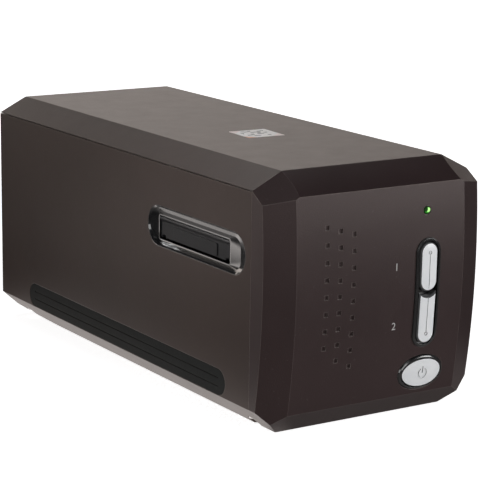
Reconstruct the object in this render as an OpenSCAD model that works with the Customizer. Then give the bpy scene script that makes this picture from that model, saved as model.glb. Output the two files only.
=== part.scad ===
// Desktop scanner for 35 mm film, with a slot right through it for a film holder.
// Axes: +X to the right, +Y to the rear, +Z up. The origin is on the table under the middle.

/* [Case] */
// Overall width
case_w = 120; // [114:1:130]
// Overall length, from the scan buttons to the rear edge
case_d = 270; // [264:1:288]
// Overall height on its feet
case_h = 121; // [118:1:126]
// Thickness of the case walls
wall = 2.4; // [2:0.1:2.8]
// Width of the sloping faces beside the top
top_slope_w = 15.3; // [13:0.1:17]
// Drop of the sloping faces beside the top
top_slope_h = 7.6; // [6.4:0.1:8.4]
// Width of the sloping faces beside the underside
low_slope_w = 13.5; // [12:0.1:15]
// Rise of the sloping faces beside the underside
low_slope_h = 12.2; // [11:0.1:13]
// Length of the rear part of the underside that curves up
rise_len = 47; // [40:1:50]
// Height gained by the underside at the rear edge
rise_h = 4; // [3:0.1:4.5]
// Shadow gap between the lower case and the top cover
shadow_gap = 0.5; // [0.3:0.1:0.8]
// Distance of the rear panel from the rear edge
rear_inset = 1.6; // [1:0.1:3]
// Diameter of a rubber foot
foot_d = 12; // [9:0.5:14]
// Height that the feet stand proud of the underside
foot_proud = 1; // [0.8:0.1:1.5]
// Length of the rubber grip strips along the sides
strip_len = 198; // [180:0.1:205]
// Distance from the bezel joint to the grip strips
strip_from_seam = 20; // [16:0.5:24]
// Height of the grip strips
strip_h = 12.4; // [10:0.1:14]

/* [Front bezel] */
// Length of the bezel, from its front to the case
bezel_d = 16.8; // [15.8:0.1:18]
// Radius of the front panel's curve from top to bottom
panel_r = 387; // [360:1:420]
// Height of the foremost line of the front panel
panel_mid_z = 74; // [72:1:78]
// Width of the front panel between its sloping sides
panel_w = 93.4; // [91:0.1:95]
// Distance that the sloping sides fall back at the side edges
side_back = 6.85; // [6:0.05:8]
// Wall of the bezel
bezel_wall = 2.2; // [1.8:0.1:2.6]
// Size of one square pit of the front pattern
pit_size = 2.2; // [1.6:0.1:2.8]
// Depth of a pit
pit_depth = 0.8; // [0.4:0.1:1.2]

/* [Buttons] */
// Distance of the button column from the middle of the front
button_x = 25.9; // [25:0.1:27]
// Width of the two scan buttons
button_w = 9.7; // [9:0.1:10]
// Height of the lower end of the scan buttons
button_low_z = 36.5; // [35.5:0.1:38]
// Height of the upper end of the scan buttons
button_top_z = 84.6; // [83:0.1:86]
// Height at which the upper scan button ends
button_split_z = 61.5; // [59:0.1:63]
// Gap between the two scan buttons
button_gap = 2.2; // [1.6:0.1:2.6]
// Distance that the buttons stand out of the panel
button_proud = 1.5; // [1.3:0.1:1.8]
// Travel of every button
button_travel = 0.8; // [0.5:0.1:1]
// Running gap round a button
button_play = 0.25; // [0.2:0.05:0.35]
// Width of the shadow gap between a button and its frame
frame_gap = 0.7; // [0.5:0.05:0.8]
// Distance that the frames stand out of the panel
frame_proud = 0.9; // [0.6:0.1:1.1]
// Distance from the scan buttons to the outer edge of their frame
well_margin = 2; // [1.8:0.1:2.2]
// Height of the power button
power_z = 22; // [21.5:0.1:23]
// Half width of the power button
power_a = 11; // [10:0.1:11.5]
// Half height of the power button
power_b = 6.6; // [6.2:0.1:7]
// Distance from the power button to the outer edge of its frame
power_margin = 1.9; // [1.8:0.1:2]
// Diameter of the status light
light_d = 3.6; // [3:0.1:5]
// Height of the status light
light_z = 99.2; // [97.5:0.1:100.5]

/* [Film slot] */
// Length of the recess in each side
recess_l = 86.2; // [84:0.1:88]
// Height of the recess
recess_h = 19.6; // [18.8:0.1:21]
// Distance from the bezel joint to the middle of the recess
recess_from_seam = 47.5; // [46.5:0.1:51]
// Height of the middle of the recess
recess_z = 82.7; // [81.5:0.1:83.5]
// Depth of the recess at the dust door
recess_depth = 2.6; // [2.2:0.1:2.8]
// Width of the film channel along the case
channel_w = 63; // [62:0.1:64]
// Height of the film channel
channel_h = 11.5; // [11.2:0.1:12]
// Distance of the channel behind the middle of the recess
channel_back = 5.1; // [4:0.1:6]
// Distance of the channel below the middle of the recess
channel_drop = 1.4; // [1:0.1:1.8]
// Thickness of a dust door
door_t = 1.3; // [1:0.1:1.5]
// Radius of the barrel of a dust door
barrel_r = 1.3; // [1.25:0.05:1.35]
// Radius of the hinge pin of a dust door
pin_r = 0.55; // [0.5:0.01:0.6]
// Gap round a dust door
door_gap = 0.3; // [0.25:0.05:0.4]
// Width of the light window in the film gate
window_w = 38; // [36:1:42]
// Length of the light window along the case
window_l = 26; // [24:1:27]

/* [Drive] */
// Travel of the optical carriage
carriage_travel = 26; // [20:1:28]
// Radius of the two guide rods
rod_r = 3; // [2.6:0.1:3.2]
// Height of the guide rods above the chassis plate
rod_rise = 14.5; // [14:0.5:16]
// Radius of the lead screw
screw_r = 3; // [2.8:0.1:3.2]
// Height of the lead screw above the chassis plate
screw_rise = 11; // [10.6:0.1:12]
// Running clearance of bushings, nut and gear bores
run_fit = 0.05; // [0.03:0.01:0.08]
// Tooth module of the gear train
gear_m = 0.6; // [0.58:0.01:0.62]
// Teeth of the gear on the lead screw
screw_teeth = 30; // [28:2:32]
// Teeth of the idler gear
idler_teeth = 20; // [18:2:22]
// Teeth of the motor pinion
pinion_teeth = 12; // [10:2:14]
// Width of the gears
gear_w = 5; // [4:0.5:5.5]
// Diameter of the stepper motor
motor_d = 35; // [30:1:36]
// Length of the stepper motor
motor_l = 20; // [16:1:22]

/* [Hidden] */

$fn = 48;
arc_fn = 720;
far = 400;
sheet = 1.6;
seat = 0.15;

y_front = button_proud - case_d / 2;
y_rear = case_d / 2;
y_seam = y_front + bezel_d;
z_floor = foot_proud;
seam_z = case_h - top_slope_h;
side_x = case_w / 2;
rise_r = (rise_len * rise_len + rise_h * rise_h) / (2 * rise_h);
tongue_l = 3;
tongue_t = 1.6;

slot_y = y_seam + recess_from_seam;
door_y = slot_y + channel_back;
door_z = recess_z - channel_drop;
channel_top = door_z + channel_h / 2;
channel_low = door_z - channel_h / 2;
dish_t = 6;
door_x = side_x - recess_depth - barrel_r - 0.1;
hinge_z = channel_top - door_gap - barrel_r;

strip_t = 1.2;
strip_y = y_seam + strip_from_seam + strip_len / 2;
strip_z = z_floor + low_slope_h + 0.3 + strip_h / 2;

foot_x = 36;
foot_front_y = y_seam + 16.4;
foot_rear_y = y_rear - rise_len - foot_d / 2 - 4;
post_x = side_x - 12;
post_front_y = y_seam + 12.4;
post_rear_y = y_rear - 14;
post_r = 3.6;
sleeve_r = post_r + 1.4;

panel_top_z = case_h - 9.4;
top_edge_back = 15;
panel_low_z = z_floor + 10.5;
low_edge_d = 1.7;
low_panel_d = 11.8;
corner_lean = 9.6;
facet_angle = atan(side_back / (side_x - panel_w / 2));
top_facet_r = 120;

board_y = y_seam + 1.4;
board_t = 1.6;
switch_l = 3.5;
switch_w = 6;
well_back_y = y_front + 7;
power_back_y = well_back_y + 1.2;
flange_t = 1.2;
plunger_r = 1.4;
dot_r = 0.9;
groove_w = 0.25;
mark_depth = 0.25;
upper_mid_z = (button_split_z + button_top_z) / 2;
lower_mid_z = (button_low_z + button_split_z) / 2;
upper_dot_z = button_top_z - button_w / 2;
lower_dot_z = button_low_z + button_w / 2;
split_mid_z = button_split_z + button_w / 2;
split_r = button_w / 2 + button_gap;
button_edge = 1;
button_crown_r = 24;
frame_stages = 3;
power_x = button_x + 0.2;
power_proud = button_proud + 0.4;
light_x = button_x - 0.8;
// Each column of pits: its place, its top and bottom pit and the number of pits
pit_columns = [[-30.5, 96.7, 41.4, 8], [-23.3, 94.6, 34.6, 9], [-15.8, 92.5, 30.9, 9]];
board_x = button_x + 0.9;
board_z = 58;
board_w = 35.6;
board_h = 88;
board_posts = [for (sx = [-1, 1], share = [-0.2, 0.4])
  [board_x + sx * (board_w / 2 - 4), board_z + share * board_h]];

bed_t = 3.2;
bed_top = channel_low - 0.5;
guide_low = channel_top + 0.4;
guide_t = 2.4;
rail_t = 3;
gate_x = side_x - dish_t - 4;
bed_len = channel_w + 2 * rail_t + 3;
standoff_x = gate_x - 6.5;
standoff_y = bed_len / 2 - 3.4;
standoff_r = 2.4;
carriage_play = 1.1;
carriage_w = 2 * (standoff_x - standoff_r - carriage_play);
rod_span = carriage_w - 12;
detent_x = 8;
detent_y = door_y - channel_w / 2 - rail_t - 4;
detent_z = (bed_top + guide_low) / 2;
nose_reach = 20;

deck_t = 1.5;
deck_z = z_floor + wall + 2.6;
deck_top = deck_z + deck_t;
deck_margin = 14;
deck_w = case_w - 2 * deck_margin;
deck_front_y = post_front_y + sleeve_r + 1;
deck_rear_y = post_rear_y - sleeve_r - 1;
rod_z = deck_top + rod_rise;
screw_z = deck_top + screw_rise;
rod_x = rod_span / 2;
pcb_l = 35.7;
pcb_rear_y = y_rear - rear_inset - wall - 1.2;
pcb_front_y = pcb_rear_y - pcb_l;
motor_plate_y = pcb_front_y - 2 - sheet;
rear_bracket_y = motor_plate_y - gear_w - 3.4 - sheet;
bracket_h = 54;
bracket_shoulder = 14;
bracket_top_w = 48;
screw_pitch_r = gear_m * screw_teeth / 2;
idler_pitch_r = gear_m * idler_teeth / 2;
pinion_pitch_r = gear_m * pinion_teeth / 2;
mesh_gap = 0.1;
idler_z = screw_z + screw_pitch_r + idler_pitch_r + mesh_gap;
pinion_z = idler_z + idler_pitch_r + pinion_pitch_r + mesh_gap;
gear_y = rear_bracket_y + sheet + 1.6;
axle_r = 1.5;
shaft_r = 1;

carriage_front_y = door_y - window_l / 2 - 16;
carriage_rear_y = rear_bracket_y - carriage_travel - board_t - 8.3;
carriage_l = carriage_rear_y - carriage_front_y;
tray_wall = 2;
tray_z = rod_z + 5;
tray_h = 35;
tray_top = tray_z + tray_h;
cover_t = 1.4;
mirror_y = door_y - window_l / 2;
axis_z = tray_z + 17;
mirror_l = 42;
mirror_h = 16;
mirror_t = 1.6;
lens_r = 12;
glass_r = 8;
lens_l = 30;
lens_y = carriage_rear_y - 16 - lens_l;
bush_r = 5;
bush_l = 10;
nut_y = lens_y - 18;
nut_l = 14;
slit_w = 8;
sensor_w = 56;

guide_top = guide_low + guide_t;
rib_h = 3;
lamp_w = window_w + 14;
lamp_l = window_l + 18;
lamp_h = 0.64 * (case_h - wall - rib_h - guide_top);
lamp_wall = 1.8;
lamp_fit = lamp_wall + seat;

pcb_z = deck_top + 5;
pcb_w = deck_w - 10;
jack_x = -28;
jack_w = 9;
jack_h = 11;
jack_l = 14;
port_x = -4;
port_w = 12;
port_h = 11;
port_l = 16;

case_brown = [0.235, 0.205, 0.188];
bezel_brown = [0.265, 0.235, 0.240];
gloss_black = [0.03, 0.03, 0.03];
button_silver = [0.82, 0.82, 0.83];
rubber_black = [0.12, 0.13, 0.125];
steel = [0.75, 0.76, 0.78];
plate_grey = [0.6, 0.61, 0.62];
board_green = [0.07, 0.32, 0.18];
chip_black = [0.08, 0.08, 0.09];
moulded_black = [0.09, 0.09, 0.1];
gear_white = [0.9, 0.89, 0.84];
brass = [0.78, 0.62, 0.3];

// A flat outline in X and Z, made solid between two places along Y
module along_y(y0, y1) {
  translate([0, y1, 0]) rotate([90, 0, 0]) linear_extrude(y1 - y0) children();
}

// A flat outline in Y and Z, made solid between two places along X
module along_x(x0, x1) {
  translate([x0, 0, 0]) rotate([90, 0, 90]) linear_extrude(x1 - x0) children();
}

// A flat outline in X and Y, made solid between two heights
module along_z(z0, z1) {
  translate([0, 0, z0]) linear_extrude(z1 - z0) children();
}

// A round bar along Y
module bar_y(x, z, r, y0, y1) {
  translate([x, y1, z]) rotate([90, 0, 0]) cylinder(r = r, h = y1 - y0);
}

module on_both_sides() {
  children();
  mirror([1, 0, 0]) children();
}

// A flat slot outline with round ends, along its first axis
module slot_shape(l, h) {
  square([l - h, h], center = true);
  for (end = [-1, 1]) translate([end * (l - h) / 2, 0]) circle(d = h);
}

// A flat rectangle with round corners
module rounded(w, h, r) {
  square([w - 2 * r, h], center = true);
  square([w, h - 2 * r], center = true);
  for (sx = [-1, 1], sy = [-1, 1]) translate([sx * (w / 2 - r), sy * (h / 2 - r)]) circle(r = r);
}

// An upright pill between two heights
module pill(w, z0, z1) {
  translate([0, (z0 + z1) / 2]) rotate(90) slot_shape(z1 - z0, w);
}

// A flat ellipse of half width a and half height b
module oval(a, b) {
  scale([a / b, 1]) circle(r = b, $fn = 144);
}

// Everything behind a plane through p whose outward direction is n
module behind_plane(p, n) {
  translate(p) rotate([0, acos(n[2] / norm(n)), atan2(n[1], n[0])])
    translate([-far, -far, -2 * far]) cube(2 * far);
}

// Shift of a slanted corner when the faces a wide and b high move in by one
function corner_shift(a, b) = (norm([a, b]) - a) / b;

function half_outline(inset) = [
  [side_x - low_slope_w - inset * corner_shift(low_slope_w, low_slope_h), z_floor + inset],
  [side_x - inset, z_floor + low_slope_h + inset * corner_shift(low_slope_h, low_slope_w)],
  [side_x - inset, seam_z - inset * corner_shift(top_slope_h, top_slope_w)],
  [side_x - top_slope_w - inset * corner_shift(top_slope_w, top_slope_h), case_h - inset]
];

// Eight-sided section of the case, with every face moved in by inset
module case_outline(inset) {
  half = half_outline(inset);
  polygon(concat(half, [for (i = [3:-1:0]) [-half[i][0], half[i][1]]]));
}

// Space under the part of the underside that curves up to the rear
module under_rise(inset) {
  along_x(-far, far) difference() {
    translate([y_rear - rise_len, z_floor - inset - 1]) square([rise_len + 2, rise_h + 2 * inset + 3]);
    translate([y_rear - rise_len, z_floor + rise_r]) circle(r = rise_r - inset, $fn = arc_fn);
  }
}

// Depth of the front panel's face at a height
function panel_y(z) = y_front + panel_r - sqrt(panel_r * panel_r - pow(z - panel_mid_z, 2));
function panel_tilt(z) = asin((panel_mid_z - z) / panel_r);

module panel_arc(inset) {
  along_x(-far, far) translate([y_front + panel_r, panel_mid_z]) circle(r = panel_r - inset, $fn = arc_fn);
}

// One of the slanted faces beside the front panel
module side_facet(side, inset) {
  r = panel_r / cos(facet_angle);
  translate([side * (panel_w / 2 - r * sin(facet_angle)), y_front + r * cos(facet_angle), panel_mid_z])
    rotate([0, 0, side * facet_angle]) rotate([0, 90, 0])
      cylinder(r = r - inset, h = far, center = true, $fn = arc_fn);
}

// The slanted face between the front panel and the top
module top_facet(inset) {
  mid = [y_seam - top_edge_back / 2, (case_h + panel_top_z) / 2];
  half = norm([top_edge_back, case_h - panel_top_z]) / 2;
  reach = sqrt(top_facet_r * top_facet_r - half * half);
  along_x(-far, far)
    translate([mid[0] + reach * (case_h - panel_top_z) / (2 * half),
      mid[1] - reach * top_edge_back / (2 * half)])
      circle(r = top_facet_r - inset, $fn = arc_fn);
}

// A slanted plane moved in by inset
module facet_plane(p, n, inset) {
  behind_plane(p - inset * n / norm(n), n);
}

// Outer form of the bezel, with every face moved in by inset
module bezel_form(inset) {
  intersection() {
    along_y(y_front - 1, y_seam + (inset > 0 ? 1 : 0)) case_outline(inset);
    panel_arc(inset);
    side_facet(1, inset);
    side_facet(-1, inset);
    top_facet(inset);
    facet_plane([0, y_seam - low_edge_d, z_floor],
      [0, z_floor - panel_low_z, low_edge_d - low_panel_d], inset);
    facet_plane([side_x - top_slope_w, y_seam - 0.15, case_h],
      [top_slope_h, -corner_lean, top_slope_w], inset);
    facet_plane([top_slope_w - side_x, y_seam - 0.15, case_h],
      [-top_slope_h, -corner_lean, top_slope_w], inset);
  }
}

// Outline of the recess in each side, in Y and Z
module recess_shape(grow) {
  translate([slot_y, recess_z]) slot_shape(recess_l + 2 * grow, recess_h + 2 * grow);
}

module channel_shape(grow) {
  translate([door_y, door_z]) rounded(channel_w + 2 * grow, channel_h + 2 * grow, 1 + max(grow, 0));
}

module strip_shape(grow) {
  translate([strip_y, strip_z]) slot_shape(strip_len + 2 * grow, strip_h + 2 * grow);
}

// Places of the four feet and of the four case screws
module at_feet() {
  for (sx = [-1, 1], y = [foot_front_y, foot_rear_y]) translate([sx * foot_x, y, 0]) children();
}

module at_posts() {
  for (sx = [-1, 1], y = [post_front_y, post_rear_y]) translate([sx * post_x, y, 0]) children();
}

post_top = z_floor + 30;
screw_head_r = 3;
screw_head_z = z_floor + 6;
screw_shank_r = 1.5;
screw_bite = 9;

// Lower case: the sides and the underside in one moulding
module lower_case() {
  color(case_brown) difference() {
    union() {
      difference() {
        along_y(y_seam, y_rear) case_outline(0);
        difference() {
          along_y(y_seam - 1, y_rear + 1) case_outline(wall);
          under_rise(wall);
        }
        translate([-far, -far, seam_z - shadow_gap]) cube([2 * far, 2 * far, far]);
      }
      // Screw posts, deck pads and ribs grow from the inside of the moulding
      intersection() {
        along_y(y_seam + tongue_l + seat, y_rear - rear_inset - 5) case_outline(wall / 2);
        union() {
          at_posts() cylinder(r = sleeve_r, h = post_top);
          for (sx = [-1, 1], y = [deck_front_y + 12, door_y + 40, deck_rear_y - 8])
            translate([sx * (deck_w / 2 - 12), y, 0]) cylinder(r = 4, h = deck_z);
          for (sx = [-1, 1], y = [post_front_y, post_rear_y])
            translate([sx * (post_x + side_x) / 2 - post_r, y - 0.8, 0])
              cube([2 * post_r, 1.6, post_top - 4]);
        }
      }
    }
    under_rise(0);
    on_both_sides() along_x(side_x - 2 * wall, side_x + 1) recess_shape(seat);
    on_both_sides() along_x(side_x - strip_t, side_x + 1) strip_shape(seat);
    at_feet() cylinder(d = foot_d + 2 * seat, h = z_floor + strip_t);
    at_posts() {
      translate([0, 0, -1]) cylinder(r = screw_shank_r + 0.3, h = post_top + 2);
      translate([0, 0, -1]) cylinder(r = screw_head_r + 0.4, h = screw_head_z + 1);
    }
  }
}

// Top cover: the top and its two sloping sides, seated on the lower case
module top_cover() {
  tongue_x = side_x - wall / 2;
  rib_x = side_x - wall - 2.4;
  color(case_brown) {
    difference() {
      along_y(y_seam, y_rear) case_outline(0);
      along_y(y_seam - 1, y_rear + 1) case_outline(wall);
      translate([-far, -far, -far]) cube([2 * far, 2 * far, far + seam_z]);
    }
    on_both_sides() along_y(y_seam + 6, y_rear - 6)
      polygon([[tongue_x - 2.6, seam_z - shadow_gap], [tongue_x, seam_z - shadow_gap],
        [tongue_x, seam_z], [tongue_x - 2.6, seam_z]]);
    on_both_sides() for (y = [y_seam + 12:36:y_rear - 24]) along_y(y, y + 10)
      polygon([[rib_x - 1.6, seam_z - 5], [rib_x, seam_z - 5.6], [rib_x, seam_z + 0.2],
        [rib_x - 1.6, seam_z + 1.4]]);
    // Bosses for the case screws, with pilot holes
    difference() {
      at_posts() translate([0, 0, post_top + seat])
        cylinder(r = post_r, h = case_h - wall / 2 - top_slope_h / 2 - post_top - seat);
      at_posts() cylinder(r = screw_shank_r, h = post_top + 12);
    }
    // Stiffening ribs across the inside of the top
    for (y = [y_seam + 24:42:y_rear - 30])
      translate([top_slope_w - side_x, y, case_h - wall - rib_h])
        cube([2 * (side_x - top_slope_w), 1.4, rib_h + 1]);
  }
}

// One pit of the front pattern, square to the panel
module pit(x, z) {
  translate([x, panel_y(z), z]) rotate([panel_tilt(z), 0, 0]) translate([0, pit_depth / 2 - 1, 0])
    cube([pit_size, pit_depth + 2, pit_size], center = true);
}

module well_shape(grow) {
  margin = well_margin + grow;
  translate([button_x, 0]) pill(button_w + 2 * margin, button_low_z - margin, button_top_z + margin);
}

module power_well_shape(grow) {
  power_shape(power_margin + grow);
}

// Front bezel: a thin faceted moulding with a tongue that enters the case
module front_bezel() {
  color(bezel_brown) difference() {
    union() {
      difference() {
        bezel_form(0);
        bezel_form(bezel_wall);
      }
      intersection() {
        bezel_form(0);
        along_y(y_seam - 2, y_seam) difference() {
          case_outline(0.1);
          case_outline(wall + seat + tongue_t);
        }
      }
      along_y(y_seam - 1, y_seam + tongue_l) difference() {
        case_outline(wall + seat);
        case_outline(wall + seat + tongue_t);
      }
      for (p = board_posts) bar_y(p[0], p[1], 3, panel_y(p[1]) + bezel_wall / 2, board_y - board_t);
    }
    for (column = pit_columns, i = [0:column[3] - 1])
      pit(column[0], column[1] - i * (column[1] - column[2]) / (column[3] - 1));
    along_y(y_front - 1, y_seam) well_shape(seat);
    along_y(y_front - 1, y_seam) power_well_shape(seat);
    bar_y(light_x, light_z, light_d / 2 + run_fit, y_front - 1, y_seam);
    bar_y(light_x, light_z, light_d / 2 + 0.45, y_front - 1, panel_y(light_z) + 0.5);
    for (p = board_posts) bar_y(p[0], p[1], 0.9, board_y - board_t - 6, board_y);
  }
}

// Rear panel: closes the case, with holes for the sockets, the lock and the air
module rear_panel() {
  y1 = y_rear - rear_inset;
  color(case_brown) difference() {
    along_y(y1 - wall, y1) case_outline(wall + seat);
    under_rise(wall + seat);
    translate([jack_x, y1 - wall, pcb_z + board_t + jack_h / 2])
      cube([jack_w + 1, 3 * wall, jack_h + 1], center = true);
    translate([port_x, y1 - wall, pcb_z + board_t + port_h / 2])
      cube([port_w + 1, 3 * wall, port_h + 1], center = true);
    translate([26, 0, pcb_z + 8]) along_y(y1 - 2 * wall, y1 + 1) rounded(7, 3, 1);
    for (i = [0:7], sx = [-1, 1])
      translate([sx * 18, 0, 62 + 5 * i]) along_y(y1 - 2 * wall, y1 + 1) slot_shape(28, 2.2);
  }
}

// A rubber grip strip in its groove
module grip_strip() {
  color(rubber_black) difference() {
    along_x(side_x - strip_t, side_x - 0.1) strip_shape(0);
    along_x(side_x - 0.4, side_x) for (i = [-1, 1]) translate([strip_y, strip_z + i * strip_h / 6])
      slot_shape(strip_len - strip_h, 0.6);
  }
}
module left_grip_strip() { mirror([1, 0, 0]) grip_strip(); }
module right_grip_strip() { grip_strip(); }

// A rubber foot pressed into its round recess
module foot(sx, y) {
  r = foot_d / 2;
  top = foot_proud + strip_t;
  color(rubber_black) translate([sx * foot_x, y, 0]) rotate_extrude()
    polygon([[0, 0], [r - 0.6, 0], [r, 0.6], [r, top], [0, top]]);
}
module front_left_foot() { foot(-1, foot_front_y); }
module front_right_foot() { foot(1, foot_front_y); }
module rear_left_foot() { foot(-1, foot_rear_y); }
module rear_right_foot() { foot(1, foot_rear_y); }

// The four screws that hold the top cover, in deep holes in the underside
module case_screws() {
  color(steel) at_posts() difference() {
    union() {
      translate([0, 0, screw_head_z - 2.4]) cylinder(r = screw_head_r, h = 2.4);
      translate([0, 0, screw_head_z - 1])
        cylinder(r = screw_shank_r, h = post_top - screw_head_z + screw_bite + 1);
    }
    for (a = [0, 90]) translate([0, 0, screw_head_z - 2]) rotate(a) cube([3.4, 0.8, 1.6], center = true);
  }
}

// Openings of the two scan buttons, in X and Z
module upper_button_shape(grow) {
  translate([button_x, 0]) pill(button_w + 2 * grow, button_split_z - grow, button_top_z + grow);
}

module lower_button_shape(grow) {
  translate([button_x, 0]) difference() {
    pill(button_w + 2 * grow, button_low_z - grow, button_split_z + button_w);
    translate([0, split_mid_z]) circle(r = split_r - grow);
    translate([-button_w, split_mid_z]) square([2 * button_w, 2 * button_w]);
  }
}

// Local place on the panel, with Y up along it and Z square out of it
module on_panel(x, z) {
  translate([x, panel_y(z), z]) rotate([90 + panel_tilt(z), 0, 0]) children();
}

// A pill that lies on the panel, round the middle line from z0 to z1.
// Its half section has the distance from the middle line first and the height above the panel second.
module panel_pill(z0, z1) {
  half_l = (z1 - z0) / 2;
  on_panel(button_x, (z0 + z1) / 2) {
    translate([0, half_l, 0]) rotate([90, 0, 0]) linear_extrude(2 * half_l) {
      children();
      mirror([1, 0]) children();
    }
    translate([0, half_l, 0]) rotate_extrude(angle = 180) children();
    translate([0, -half_l, 0]) rotate(180) rotate_extrude(angle = 180) children();
  }
}

// Gloss frame of the two scan buttons, let into the bezel.
// Its band follows the panel's curve and rises in stages towards the buttons.
module scan_well() {
  color(gloss_black) difference() {
    union() {
      intersection() {
        panel_arc(bezel_wall);
        along_y(y_front, well_back_y) well_shape(1.6);
      }
      for (stage = [0:frame_stages - 1]) intersection() {
        panel_arc(-frame_proud * (1 - pow(1 - (stage + 1) / frame_stages, 2)));
        along_y(y_front - 2 * frame_proud, well_back_y - 0.5) difference() {
          well_shape(-0.2 * stage);
          translate([button_x, 0])
            pill(button_w + 2 * frame_gap, button_low_z - frame_gap, button_top_z + frame_gap);
        }
      }
    }
    along_y(y_front, well_back_y + 1) upper_button_shape(button_play);
    along_y(y_front, well_back_y + 1) lower_button_shape(button_play);
  }
}

// The power button's oval as a many-sided outline, for the stages of its frame
module oval_stage(grow, z, h) {
  a = power_a + grow;
  b = power_b + grow;
  translate([0, 0, z]) linear_extrude(h) polygon([for (t = [0:5:355]) [a * cos(t), b * sin(t)]]);
}

// Gloss frame of the power button, let into the bezel
module power_well() {
  color(gloss_black) {
    intersection() {
      panel_arc(bezel_wall);
      along_y(y_front, power_back_y) difference() {
        power_well_shape(0.9);
        power_shape(button_play);
      }
    }
    intersection() {
      panel_arc(bezel_wall / 8);
      along_y(y_front, panel_y(power_z) + bezel_wall + 1) difference() {
        power_well_shape(-0.3);
        power_shape(frame_gap + 0.2);
      }
    }
    on_panel(power_x, power_z) difference() {
      hull() {
        oval_stage(power_margin, -0.5, 0.6);
        oval_stage(power_margin - 0.4, 0.6, 0.01);
        oval_stage(frame_gap + 0.3, frame_proud, 0.01);
      }
      oval_stage(frame_gap, -2, 4);
    }
  }
}

module power_shape(grow) {
  translate([power_x, power_z]) oval(power_a + grow, power_b + grow);
}

stem_end_y = board_y - board_t - switch_l - button_travel - 0.2;

// Back of a button: a flange behind the well and a stem to its switch
module button_back(x, z, y0) {
  along_y(y0 + button_play, y0 + button_play + flange_t) children();
  bar_y(x, z, 2.2, y0, stem_end_y);
}

// Half section of a scan button: a crowned face with a small bevel at its edge
module button_section() {
  half = button_w / 2;
  intersection() {
    polygon([[0, -2], [half, -2], [half, button_proud - button_edge],
      [half - button_edge - 1, button_proud + 1], [0, button_proud + 1]]);
    translate([0, button_proud - button_crown_r]) circle(r = button_crown_r, $fn = arc_fn);
  }
}

// A ring cut round a place on the button column
module dot(z) {
  on_panel(button_x, z) translate([0, 0, button_proud]) difference() {
    cylinder(r = dot_r, h = 2 * mark_depth, center = true);
    cylinder(r = dot_r - 0.35, h = 1, center = true);
  }
}

// A fine groove down the middle of a button
module groove(z0, z1) {
  on_panel(button_x, (z0 + z1) / 2)
    translate([0, 0, button_proud]) cube([groove_w, z1 - z0, 2 * mark_depth], center = true);
}

module upper_scan_button() {
  color(button_silver) {
    difference() {
      union() {
        panel_pill(split_mid_z, upper_dot_z) button_section();
        along_y(y_front + 1, well_back_y + button_play + flange_t) upper_button_shape(-0.25);
      }
      dot(upper_dot_z);
      groove(button_split_z - 1, upper_dot_z - dot_r);
    }
    button_back(button_x, upper_mid_z, well_back_y)
      translate([button_x, upper_mid_z]) rounded(button_w + 2, 16, 1);
  }
}

module lower_scan_button() {
  color(button_silver) {
    difference() {
      union() {
        difference() {
          panel_pill(lower_dot_z, split_mid_z) button_section();
          on_panel(button_x, split_mid_z) {
            translate([0, 0, -10]) cylinder(r = split_r, h = 20);
            translate([0, 0, button_proud - button_edge])
              cylinder(r1 = split_r, r2 = split_r + 2 * button_edge, h = 2 * button_edge);
            translate([-button_w, 0, -10]) cube([2 * button_w, 2 * button_w, 20]);
          }
        }
        along_y(y_front + 1.4, well_back_y + button_play + flange_t) lower_button_shape(-0.25);
      }
      dot(lower_dot_z);
      groove(lower_dot_z + dot_r, button_split_z);
    }
    button_back(button_x, lower_mid_z, well_back_y)
      translate([button_x, lower_mid_z]) rounded(button_w + 2, 16, 1);
  }
}

// Power button: an oval cap with a domed face and a ring and bar cut into it
module power_button() {
  dome_r = 60;
  ring_r = 2.6;
  line_w = 0.55;
  color(button_silver) {
    difference() {
      intersection() {
        along_y(y_front - 1, power_back_y + button_play + flange_t) power_shape(0);
        on_panel(power_x, power_z) translate([0, 0, power_proud - dome_r]) sphere(r = dome_r, $fn = 360);
      }
      on_panel(power_x, power_z) translate([0, 0, power_proud - mark_depth - 0.05]) linear_extrude(1) {
        difference() {
          circle(r = ring_r);
          circle(r = ring_r - line_w);
          translate([0, ring_r]) square([4 * line_w, 2 * ring_r], center = true);
        }
        translate([0, ring_r * 0.7]) square([line_w, 1.2 * ring_r], center = true);
      }
    }
    button_back(power_x, power_z, power_back_y) power_shape(0.9);
  }
}

// Plunger of a switch, which goes in and out with its button
module plunger(x, z) {
  color("white") bar_y(x, z, plunger_r, stem_end_y, stem_end_y + button_travel + 1.2);
}
module upper_plunger() { plunger(button_x, upper_mid_z); }
module lower_plunger() { plunger(button_x, lower_mid_z); }
module power_plunger() { plunger(power_x, power_z); }

// Switch bodies on the button board, each with a bore for its plunger
module tact_switches() {
  color(chip_black) for (p = [[button_x, upper_mid_z], [button_x, lower_mid_z], [power_x, power_z]])
    difference() {
      translate([p[0] - switch_w / 2, board_y - board_t - switch_l, p[1] - switch_w / 2])
        cube([switch_w, switch_l, switch_w]);
      bar_y(p[0], p[1], plunger_r + 0.1, board_y - board_t - switch_l - 1, board_y - board_t - 0.5);
    }
}

// Circuit board behind the buttons, screwed to four posts of the bezel
module button_board() {
  color(board_green) difference() {
    along_y(board_y - board_t, board_y) translate([board_x, board_z]) rounded(board_w, board_h, 1);
    for (p = board_posts) bar_y(p[0], p[1], 1.2, board_y - 4, board_y + 1);
  }
  color(steel) for (p = board_posts) {
    bar_y(p[0], p[1], 0.8, board_y - 5, board_y + 1);
    bar_y(p[0], p[1], 2, board_y, board_y + 1.2);
  }
}

// Clear pipe that carries the status light from the board to the panel
module light_pipe() {
  color([0.3, 0.8, 0.2]) {
    bar_y(light_x, light_z, light_d / 2, panel_y(light_z) + 0.1, board_y - board_t - 3);
    bar_y(light_x, light_z, light_d / 2 - 0.5, board_y - board_t - 3.5, board_y - board_t);
  }
}

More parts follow.
